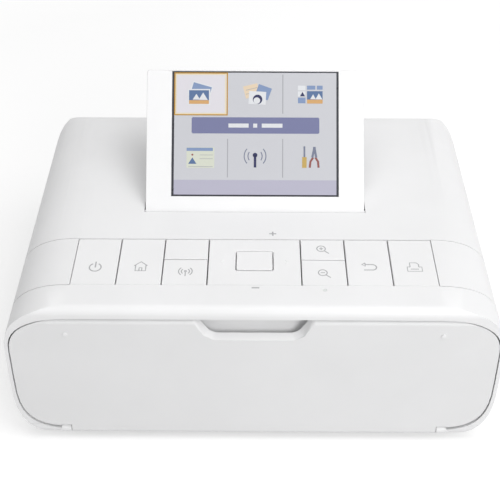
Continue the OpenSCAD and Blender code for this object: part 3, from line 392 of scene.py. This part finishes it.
def notch_foot_corner(edge):
    """The two mitres at the lower corners of the finger notch."""
    spots = [in_cover(vert) for vert in edge.verts]
    return all(14 * MM < abs(spot.x) < 18 * MM and spot.z < cover_high.z - 6 * MM for spot in spots) \
        and abs(spots[0].y - spots[1].y) > MM


def notch_top_corner(edge):
    """The two chains of edges where the notch runs out at the cover's top edge."""
    return all(abs(abs(spot.x) - NOTCH_TOP_X) < 0.7 * MM and spot.z > cover_high.z - 2.1 * MM
               for spot in (in_cover(vert) for vert in edge.verts))


cover = merged_copy("front_cover")
soften(cover, NOTCH_FOOT_R, notch_foot_corner, 7, 20)
soften(cover, NOTCH_TOP_R, notch_top_corner, 5, 30)
piece("front_cover_panel", cover, shaded_cover_white, "front_cover", ("front_cover",), sharp=26)
piece("front_frame_panel", merged_copy("front_frame"), frame_white, "case", ("front_frame",))


def make_scoop_liner():
    """The sloping back of the finger scoop behind the notch: it runs back as it rises."""
    front_y = extent("front_frame", on_front)[0].y
    foot_z, rise, depth, half_w = cover_high.z - 12.5 * MM, 12.9 * MM, 4.2 * MM, 19.55 * MM
    shape = bmesh.new()
    bmesh.ops.create_grid(shape, x_segments=1, y_segments=16, size=0.5)
    for vert in shape.verts:
        share = vert.co.y + 0.5
        vert.co = Vector((vert.co.x * 2 * half_w, front_y + depth * math.sin(share * math.pi / 2),
                          foot_z + rise * share))
    bmesh.ops.recalc_face_normals(shape, faces=shape.faces)
    if sum(face.normal.y for face in shape.faces) > 0:
        bmesh.ops.reverse_faces(shape, faces=shape.faces)
    bmesh.ops.solidify(shape, geom=shape.faces[:], thickness=0.4 * MM)
    bmesh.ops.transform(shape, verts=shape.verts, matrix=on_front)
    piece("finger_scoop_liner", shape, frame_white, "case")


make_scoop_liner()
piece("ink_door_panel", merged_copy("ink_door"), case_white, "ink_door", ("ink_door",))
battery = merged_copy("battery_cover")
soften(battery, 0.4 * MM, lambda edge: all(vert.co.y > case_high.y - 0.2 * MM for vert in edge.verts))
piece("battery_cover_plate", battery, case_white, "case", ("battery_cover",))


# ---------------------------------------------------------------- keys and their printed marks

KEY_DISH = 0.08 * MM


def moulded_key(node, margin=1.2, edge_r=0.3):
    """A key with rounded corners and edges and a shallow dish in its top."""
    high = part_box(node)[1].z
    shape = merged_copy(node)
    near_top = lambda vert: vert.co.z > high - FLUSH
    tops = [face for face in shape.faces if face.normal.z > 0.99 and all(near_top(v) for v in face.verts)]
    bmesh.ops.inset_region(shape, faces=tops, thickness=margin * MM, use_even_offset=True)
    for vert in {vert for face in tops for vert in face.verts}:
        vert.co.z -= KEY_DISH
    soften(shape, edge_r * MM, lambda edge: all(near_top(v) for v in edge.verts)
           and len([f for f in edge.link_faces if abs(f.normal.z) < 0.1]) == 1)
    return piece(node + "_cap", shape, key_white, BODY_OF[node], (node,), sharp=40)


for node in ("power_key", "home_key", "menu_key", "wireless_key", "zoom_in_key", "zoom_out_key",
             "back_key", "print_key", "four_way_pad"):
    moulded_key(node)
moulded_key("ok_key", 0.6, 0.2)


def arc(x, y, r, start, end, steps=14):
    """Points along an arc, in millimetres, from start to end degrees."""
    turns = [math.radians(start + (end - start) * i / steps) for i in range(steps + 1)]
    return [(x + r * math.cos(turn), y + r * math.sin(turn)) for turn in turns]


def drawn_lines(name, lines, place, finish, body, width=0.5, height=0.03):
    """Lines of a printed or raised mark, on a surface: place puts the mark's XY plane on it."""
    curve = bpy.data.curves.new(name, "CURVE")
    curve.dimensions = "3D"
    curve.bevel_depth = width / 2 * MM
    curve.bevel_resolution = 2
    curve.use_fill_caps = True
    for line in lines:
        spline = curve.splines.new("POLY")
        spline.points.add(len(line) - 1)
        for point, (x, y) in zip(spline.points, line):
            point.co = (x * MM, y * MM, 0, 1)
    drawing = bpy.data.objects.new(name + "_drawing", curve)
    bpy.context.scene.collection.objects.link(drawing)
    mesh = bpy.data.meshes.new_from_object(drawing.evaluated_get(bpy.context.evaluated_depsgraph_get()))
    bpy.data.objects.remove(drawing)
    bpy.data.curves.remove(curve)
    shape = bmesh.new()
    shape.from_mesh(mesh)
    bpy.data.meshes.remove(mesh)
    bmesh.ops.remove_doubles(shape, verts=shape.verts, dist=0.0005 * MM)
    bmesh.ops.scale(shape, verts=shape.verts, vec=(1, 1, 2 * height / width))
    bmesh.ops.transform(shape, verts=shape.verts, matrix=place)
    return piece(name, shape, finish, body, weigh=False)


def on_key(node, x, y):
    """The place of a mark on a key's dished top, or on the case top where node is upper_case."""
    drop = 0.0 if node == "upper_case" else KEY_DISH
    return Matrix.Translation((x * MM, y * MM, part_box(node)[1].z - drop))


drawn_lines("power_mark", [arc(0, -0.5, 2.15, 118, 422, 24), [(0, -0.6), (0, 2.6)]],
            on_key("power_key", -58.6, -38.8), mark_grey, "power_key")
drawn_lines("home_mark", [[(-2.4, 0.3), (0, 2.5), (2.4, 0.3)],
                          [(-1.9, 0.5), (-1.9, -2.5), (1.9, -2.5), (1.9, 0.5)],
                          [(-0.5, -2.4), (-0.5, -0.8), (0.5, -0.8), (0.5, -2.4)]],
            on_key("home_key", -41.9, -38.6), mark_grey, "home_key", 0.45)
drawn_lines("wireless_mark", [arc(0, 0.5, 2.5, 130, 230), arc(0, 0.5, 1.5, 130, 230),
                              arc(0, 0.5, 2.5, -50, 50), arc(0, 0.5, 1.5, -50, 50),
                              arc(0, 0.6, 0.35, 0, 360), [(0, 0.4), (0, -2.1)]],
            on_key("wireless_key", -25.3, -41.8), mark_grey, "wireless_key", 0.42)
for zoom, y, cross in (("zoom_in", -28.7, True), ("zoom_out", -42.2, False)):
    glass = [arc(-0.6, 0.5, 1.6, 0, 360, 24), [(0.6, -0.75), (2.2, -2.2)], [(-1.4, 0.5), (0.2, 0.5)]]
    if cross:
        glass.append([(-0.6, -0.3), (-0.6, 1.3)])
    drawn_lines(zoom + "_mark", glass, on_key(zoom + "_key", 25.6, y), mark_grey, zoom + "_key", 0.42)
drawn_lines("back_mark", [[(-1.4, 1.5), (1.2, 1.5), *arc(1.2, 0, 1.5, 90, -90), (-2.0, -1.5)],
                          [(-1.4, 2.4), (-2.6, 1.5), (-1.4, 0.6), (-1.4, 2.4)]],
            on_key("back_key", 42.2, -38.6), mark_grey, "back_key")
drawn_lines("print_mark", [[(-1.6, 0.2), (-1.6, 2.5), (0.8, 2.5), (1.6, 1.7), (1.6, 0.2)],
                           [(-1.6, 0.2), (-2.7, 0.2), (-2.7, -2.2), (2.7, -2.2), (2.7, 0.2), (1.6, 0.2)],
                           [(-1.5, -1.0), (1.5, -1.0)]],
            on_key("print_key", 58.9, -38.5), mark_grey, "print_key", 0.42)
drawn_lines("plus_mark", [[(-1.35, 0), (1.35, 0)], [(0, -1.2), (0, 1.2)]],
            on_key("upper_case", 6.9, -19.7), mark_grey, "case", 0.6)
drawn_lines("minus_mark", [[(-1.4, 0), (1.4, 0)]], on_key("upper_case", 0.4, -50.2), mark_grey, "case", 0.65)
SIDES = ((-1, "left"), (1, "right"))
PIP_X, PIP_UP = 67.6 * MM, 46.85 * MM
# The raised pips take the lighter key white rather than the cover's plastic: their brightness is partly a
# painted highlight on the bumps.
for side, name in SIDES:
    on_pip = on_front @ Matrix.Translation((PIP_X * side, cover_low.y, PIP_UP)) \
        @ Matrix.Rotation(math.radians(90), 4, "X")
    drawn_lines(f"cover_pip_{name}_cap", [[(-0.55, 0), (0.55, 0)]], on_pip, key_white, "front_cover",
                1.0, 0.12)
for side, name in SIDES:
    arrow = [(-0.5 * side, -1.1), (0.5 * side, 0), (-0.5 * side, 1.1)]
    drawn_lines(f"pad_{name}_rib", [arrow], on_key("four_way_pad", 12.0 * side, -35.9), key_white,
                "four_way_pad", 0.5, 0.12)


# ---------------------------------------------------------------- screen

bezel_low, bezel_high = extent("screen_bezel", on_screen)


def on_bezel_face(edge):
    """Edges in the bezel's front face."""
    return all((on_screen.inverted() @ vert.co).z > bezel_high.z - FLUSH for vert in edge.verts)


def bezel_outer(edge):
    """Edges round the outside of the bezel's front face."""
    spot = on_screen.inverted() @ middle(edge)
    return on_bezel_face(edge) and (abs(spot.x) > bezel_high.x - 1.2 * MM or spot.y > bezel_high.y - 1.2 * MM
                                    or spot.y < bezel_low.y + 1.2 * MM)


bezel = merged_copy("screen_bezel")
soften(bezel, 0.7 * MM, bezel_outer, 4)
soften(bezel, 0.25 * MM, lambda edge: on_bezel_face(edge) and not bezel_outer(edge), 2)
piece("screen_bezel_frame", bezel, screen_white, "screen_unit", ("screen_bezel",))
piece("screen_back_shell", merged_copy("screen_back_cover"), screen_white, "screen_unit",
      ("screen_back_cover",))

window_low, window_high = extent("display_window", on_screen)
LAYER = 0.012 * MM
DISPLAY_GAMMA, DISPLAY_LIFT = 2.2, 1.3


def seen(red, green, blue):
    """The colour that looks like these 0 to 255 values on the lit display."""
    return tuple((channel / 255) ** DISPLAY_GAMMA / DISPLAY_LIFT for channel in (red, green, blue))


panel_grey = display_colour("display_panel_grey", seen(213, 214, 220))
tile_pale = display_colour("display_tile_pale", seen(234, 231, 238))
tile_gold = display_colour("display_gold", seen(196, 148, 62))
tile_cream = display_colour("display_cream", seen(243, 228, 196))
bar_slate = display_colour("display_slate", seen(122, 126, 166))
bar_lavender = display_colour("display_lavender", seen(192, 190, 209))
line_grey = display_colour("display_line_grey", seen(176, 177, 183))
sheet_white = display_colour("display_white", seen(236, 238, 242))
sky_blue = display_colour("display_blue", seen(88, 116, 160))
dusk_blue = display_colour("display_dusk_blue", seen(134, 156, 196))
sand_tan = display_colour("display_tan", seen(222, 172, 112))
peach = display_colour("display_peach", seen(240, 218, 188))
leaf_pale = display_colour("display_pale_green", seen(224, 228, 212))
deep_navy = display_colour("display_navy", seen(44, 48, 92))
steel_grey = display_colour("display_steel_grey", seen(124, 130, 152))
handle_red = display_colour("display_red_brown", seen(150, 88, 84))
handle_gold = display_colour("display_mustard", seen(204, 172, 96))

display_corner = on_screen @ Matrix.Translation((window_low.x, window_high.y, window_high.z))
display_w = (window_high.x - window_low.x) / MM
display_h = (window_high.y - window_low.y) / MM


class Layer:
    """Flat shapes of one colour on the display, in millimetres right of and below its top left corner."""

    def __init__(self, name, finish, level):
        self.name, self.finish, self.low, self.shape = name, finish, level * LAYER, bmesh.new()

    def put(self, made, x, y, turn, size):
        """Sizes, turns and places the points of a shape just made."""
        spot = Matrix.Translation((x * MM, -y * MM, self.low + LAYER / 2))
        bmesh.ops.transform(self.shape, verts=made, matrix=spot
                            @ Matrix.Rotation(math.radians(turn), 4, "Z") @ Matrix.Diagonal((*size, 1)))
        return self

    def area(self, x0, x1, y0, y1, turn=0):
        """A rectangle, turned about its middle."""
        made = bmesh.ops.create_cube(self.shape, size=1)["verts"]
        return self.put(made, (x0 + x1) / 2, (y0 + y1) / 2, turn, ((x1 - x0) * MM, (y1 - y0) * MM, LAYER))

    def disc(self, x, y, r, corners=28, turn=0.0, tall=1.0):
        """A disc, or a regular shape of a few corners."""
        made = bmesh.ops.create_cone(self.shape, cap_ends=True, segments=corners, radius1=r * MM,
                                     radius2=r * MM, depth=LAYER)["verts"]
        return self.put(made, x, y, turn, (1, tall, 1))

    def outline(self, x0, x1, y0, y1, width):
        """A frame inside a rectangle."""
        self.area(x0, x1, y0, y0 + width).area(x0, x1, y1 - width, y1)
        return self.area(x0, x0 + width, y0 + width, y1 - width).area(x1 - width, x1, y0 + width, y1 - width)

    def lay(self):
        """Puts the layer on the display."""
        bmesh.ops.transform(self.shape, verts=self.shape.verts, matrix=display_corner)
        return piece(self.name, self.shape, self.finish, "screen_unit", weigh=False)


def display_lines(name, lines, finish, width, level=2):
    """Drawn lines on the display, in the same millimetres as its layers."""
    flipped = [[(x, -y) for x, y in line] for line in lines]
    return drawn_lines(name, flipped, display_corner @ Matrix.Translation((0, 0, level * LAYER)), finish,
                       "screen_unit", width, 0.012)


left, right, foot = 0.9, display_w - 0.85, display_h - 0.65
Layer("display_panel", panel_grey, 0).area(left, right, 0.5, foot).lay()
Layer("display_foot_bar", bar_lavender, 1).area(left, right, 43.4, foot).lay()
Layer("display_chosen_tile", tile_pale, 1).area(1.2, 21.6, 0.9, 17.2).lay()
Layer("display_chosen_glow", tile_cream, 2).outline(1.2, 21.5, 0.9, 17.2, 0.55).lay()
Layer("display_chosen_frame", tile_gold, 3).outline(0.8, 22.1, 0.45, 17.7, 0.5).lay()
Layer("display_rules", line_grey, 1).area(43.7, 44.1, 1.2, 16.9).area(21.9, 22.3, 27, 42.4).area(
    43.7, 44.1, 27, 42.4).lay()
title = Layer("display_title_bar", bar_slate, 1).area(7.8, 58.4, 18.7, 24.6)
title.area(8.1, 58.1, 18.4, 18.7).area(8.1, 58.1, 24.6, 24.9).lay()
Layer("display_title_line", sheet_white, 2).area(22.4, 30.4, 20.9, 22.5).area(32.2, 33.8, 20.9, 22.5).area(
    35.6, 43.8, 20.9, 22.5).lay()

# Two photographs, one on the other
Layer("picture_back_edge", sheet_white, 2).area(7.3, 15.6, 4.9, 10.9, -16).lay()
Layer("picture_back", dusk_blue, 3).area(7.7, 15.2, 5.3, 10.4, -16).lay()
Layer("picture_front_edge", sheet_white, 4).area(6.2, 15.1, 7.1, 13.6).lay()
Layer("picture_front_sky", sky_blue, 5).area(6.7, 14.6, 7.6, 11.6).lay()
Layer("picture_front_sand", sand_tan, 5).area(6.7, 14.6, 11.6, 13.1).lay()
hills = Layer("picture_front_hills", sheet_white, 6).disc(9.6, 10.6, 1.7, 3, 0, 0.9)
hills.disc(12.3, 10.5, 2.1, 3, 0, 0.95).lay()

# Three fanned sheets
Layer("fan_left", peach, 2).area(28.6, 34.4, 5.3, 10.3, 14).lay()
Layer("fan_left_rules", line_grey, 3).area(29.2, 33.8, 6.9, 7.1, 14).area(29.2, 33.8, 8.5, 8.7, 14).lay()
Layer("fan_right", dusk_blue, 3).area(33.4, 38.9, 5.8, 10.8, -20).lay()
Layer("fan_front", sheet_white, 4).area(30.4, 37.2, 8.0, 13.2, -3).lay()
Layer("fan_front_disc", deep_navy, 5).disc(33.9, 11.2, 1.9).lay()
Layer("fan_front_moon", sheet_white, 6).disc(33.6, 11.7, 1.3).lay()

# A page of pictures
tiles = Layer("page_tiles", dusk_blue, 2).area(53.5, 56.8, 5.6, 7.2).area(57.4, 59.7, 5.6, 7.2)
tiles.area(49.9, 52.9, 10.4, 12.7).lay()
Layer("page_tiles_pale", sheet_white, 2).area(49.9, 52.9, 5.6, 7.5).area(49.9, 52.9, 7.9, 10).lay()
Layer("page_tile_peak", deep_navy, 3).disc(51.7, 9.3, 1.2, 3).lay()
Layer("page_sky", sky_blue, 2).area(53.5, 59.7, 7.8, 11.2).lay()
Layer("page_sand", sand_tan, 2).area(53.5, 59.7, 11.2, 12.8).lay()
Layer("page_hills", sheet_white, 3).disc(55.9, 10.4, 1.3, 3).disc(58.2, 10.3, 1.6, 3).lay()

# A card with a picture and lines
Layer("card_sheet", leaf_pale, 2).area(5.9, 16.9, 30.4, 38.6).lay()
Layer("card_head", dusk_blue, 3).area(5.9, 16.3, 30.6, 31.9).lay()
Layer("card_peak", sky_blue, 3).disc(8.2, 36.2, 1.9, 3, 0, 0.9).lay()
Layer("card_sun", handle_red, 3).disc(8.2, 33.4, 0.4).lay()
Layer("card_rules", line_grey, 3).area(11.1, 16.3, 33.4, 33.6).area(11.1, 16.3, 34.9, 35.1).area(
    6.6, 16.3, 38.0, 38.2).lay()

# An aerial with its waves
Layer("aerial_mast", deep_navy, 2).area(32.5, 33.5, 33.5, 38.4).disc(33, 33.5, 0.95).lay()
waves = [arc(33, 33.9, r, start, start + 2 * half) for r, half in ((2.8, 36), (4.3, 42))
         for start in (-half, 180 - half)]
display_lines("aerial_waves", waves, steel_grey, 0.4)

# A screwdriver and pliers
Layer("driver_blade", steel_grey, 2).area(52.15, 52.85, 29.9, 34.4).lay()
Layer("driver_handle", handle_gold, 3).area(51.6, 53.4, 34.2, 38.5).lay()
display_lines("plier_jaws", [[(55.6, 34.4), (56.3, 31.2), (56.4, 30.1)],
                             [(57.2, 34.4), (56.6, 31.2), (56.5, 30.1)]], steel_grey, 0.9, 3)
display_lines("plier_grips", [[(56.0, 34.3), (54.9, 36.0), (54.6, 38.4)],
                              [(56.8, 34.3), (57.9, 36.0), (58.1, 38.4)]], handle_red, 0.85, 2)


# ---------------------------------------------------------------- stage, light and camera

FLOOR_WHITE, FLOOR_HALF = 0.6, 12
FLOOR_GLOW_NEAR, FLOOR_GLOW_FAR, FLOOR_REACH = 0.46, 0.9, (0.3, 1.2)
WORLD_LIGHT, WORLD_WHITE = 0.45, 1.0
LAMP_AIM = (0, 0, 0.03)
CAMERA_DOWN, CAMERA_TURN, CAMERA_LENS = 40.5, 0.41, 71.2
CAMERA_PLACE = (0.3 * MM, -311.5 * MM, 304.1 * MM)


def worked_out(tree, operation, first, second):
    """The result of an operation on two sockets."""
    step = tree.nodes.new("ShaderNodeMath")
    step.operation = operation
    tree.links.new(first, step.inputs[0])
    tree.links.new(second, step.inputs[1])
    return step.outputs["Value"]


def seen_rays(tree):
    """1 for camera, glossy and transmission rays, 0 for the rest."""
    path = tree.nodes.new("ShaderNodeLightPath").outputs
    camera_or_gloss = worked_out(tree, "MAXIMUM", path["Is Camera Ray"], path["Is Glossy Ray"])
    return worked_out(tree, "MAXIMUM", camera_or_gloss, path["Is Transmission Ray"])


def floor_material():
    """A white floor that keeps the object's shadow, lifted by a glow that only the eye sees."""
    material, tree, surface = shader_tree("floor_white", (FLOOR_WHITE,) * 3, 0.9)
    surface.inputs["Specular IOR Level"].default_value = 0.0
    place = tree.nodes.new("ShaderNodeTexCoord")
    reach = tree.nodes.new("ShaderNodeVectorMath")
    reach.operation = "LENGTH"
    tree.links.new(place.outputs["Object"], reach.inputs[0])
    lift = spread(tree, reach.outputs["Value"], FLOOR_GLOW_NEAR, FLOOR_GLOW_FAR, *FLOOR_REACH)
    glow = tree.nodes.new("ShaderNodeEmission")
    tree.links.new(worked_out(tree, "MULTIPLY", seen_rays(tree), lift), glow.inputs["Strength"])
    join = tree.nodes.new("ShaderNodeAddShader")
    tree.links.new(surface.outputs["BSDF"], join.inputs[0])
    tree.links.new(glow.outputs["Emission"], join.inputs[1])
    tree.links.new(join.outputs["Shader"], tree.nodes["Material Output"].inputs["Surface"])
    return material


def make_floor():
    """A wide plane under the object."""
    ground = bmesh.new()
    bmesh.ops.create_grid(ground, x_segments=1, y_segments=1, size=FLOOR_HALF)
    mesh = bpy.data.meshes.new("floor")
    ground.to_mesh(mesh)
    ground.free()
    mesh.materials.append(floor_material())
    plane = bpy.data.objects.new("floor", mesh)
    bpy.context.scene.collection.objects.link(plane)


def make_world():
    """White to the camera, softer as a light."""
    world = bpy.data.worlds.new("studio")
    world.use_nodes = True
    tree = world.node_tree
    back = tree.nodes["Background"]
    back.inputs["Color"].default_value = (1, 1, 1, 1)
    strength = spread(tree, seen_rays(tree), WORLD_LIGHT, WORLD_WHITE, 0, 1)
    tree.links.new(strength, back.inputs["Strength"])
    bpy.context.scene.world = world


def softbox(name, place, size, power):
    """A square lamp of size metres and power watts, aimed at the middle of the object."""
    lamp = bpy.data.lights.new(name, "AREA")
    lamp.shape = "SQUARE"
    lamp.size = size
    lamp.energy = power
    box = bpy.data.objects.new(name, lamp)
    box.location = place
    box.rotation_mode = "QUATERNION"
    box.rotation_quaternion = (Vector(LAMP_AIM) - Vector(place)).to_track_quat("-Z", "Y")
    bpy.context.scene.collection.objects.link(box)


def make_camera():
    """The photograph's view: down at the front, from straight ahead."""
    lens = bpy.data.cameras.new("camera")
    lens.lens = CAMERA_LENS
    lens.sensor_width = 36
    lens.clip_start, lens.clip_end = 0.02, 50
    camera = bpy.data.objects.new("camera", lens)
    camera.location = CAMERA_PLACE
    camera.rotation_euler = (math.radians(90 - CAMERA_DOWN), 0, math.radians(CAMERA_TURN))
    bpy.context.scene.collection.objects.link(camera)
    bpy.context.scene.camera = camera


make_floor()
make_world()
softbox("softbox_right", (0.55, -0.25, 0.85), 0.7, 3.2)
softbox("softbox_front", (0.36, -0.86, 0.42), 0.5, 3.8)
softbox("softbox_top", (0.0, 0.0, 1.05), 0.8, 3.1)
make_camera()

bpy.context.scene.view_settings.view_transform = "Standard"
